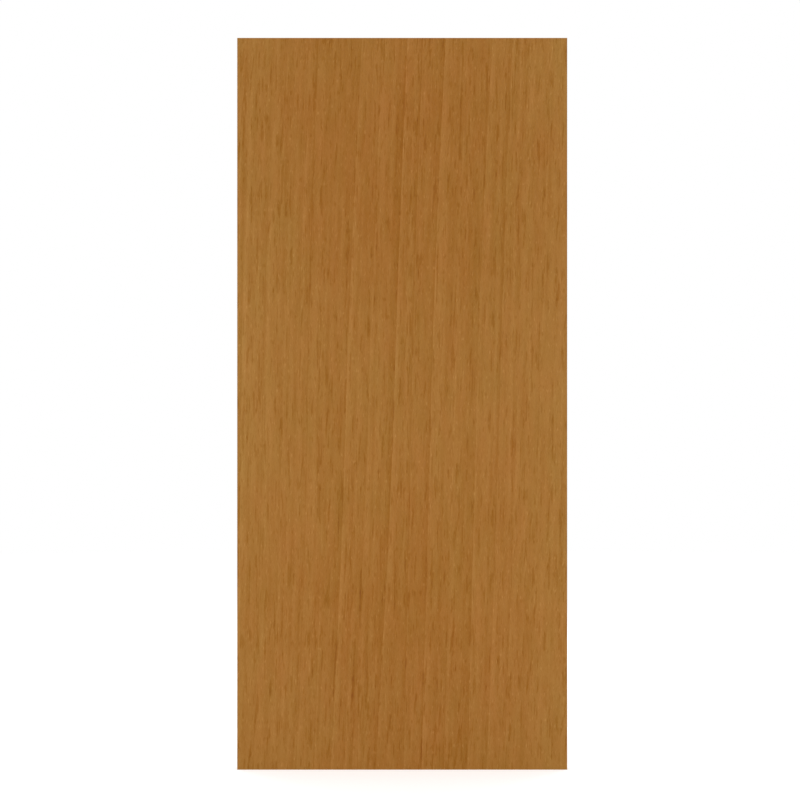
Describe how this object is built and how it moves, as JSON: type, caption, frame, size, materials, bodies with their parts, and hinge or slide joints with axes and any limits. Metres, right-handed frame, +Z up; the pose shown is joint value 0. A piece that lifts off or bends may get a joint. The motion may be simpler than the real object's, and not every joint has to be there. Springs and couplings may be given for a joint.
{
  "type": "flush door leaf",
  "caption": "Plain flush door leaf: flat wood-veneered faces over a solid timber core framed by stiles and rails, with hardwood edge strips, hung by its hinge edge.",
  "frame": {"origin": "on the hinge edge, halfway through the thickness, at the foot of the leaf", "axes": "+X across the leaf from the hinge edge to the lock edge, +Y through it from the front face to the back face, +Z up"},
  "size_m": [0.92, 0.04, 2.04],
  "materials": {
    "face_veneer": "straight-grained golden brown face veneer, satin clear coat",
    "edge_strip": "solid hardwood to match the faces, planed, satin clear coat",
    "crossband": "dark brown high-density fibreboard, sawn edge",
    "frame_lumber": "laminated veneer lumber, sawn and sealed where it shows",
    "core_lumber": "softwood battens, planed and glued edge to edge"
  },
  "bodies": {
    "root": {"front_face_veneer": "face_veneer", "back_face_veneer": "face_veneer", "front_crossband": "crossband", "back_crossband": "crossband", "hinge_edge_strip": "edge_strip", "lock_edge_strip": "edge_strip", "hinge_stile": "frame_lumber", "lock_stile": "frame_lumber", "top_rail": "frame_lumber", "bottom_rail": "frame_lumber", "core_batten_01": "core_lumber", "core_batten_02": "core_lumber", "core_batten_03": "core_lumber", "core_batten_04": "core_lumber", "core_batten_05": "core_lumber", "core_batten_06": "core_lumber", "core_batten_07": "core_lumber", "core_batten_08": "core_lumber", "core_batten_09": "core_lumber", "core_batten_10": "core_lumber", "core_batten_11": "core_lumber", "core_batten_12": "core_lumber", "core_batten_13": "core_lumber"}
  },
  "joints": []
}
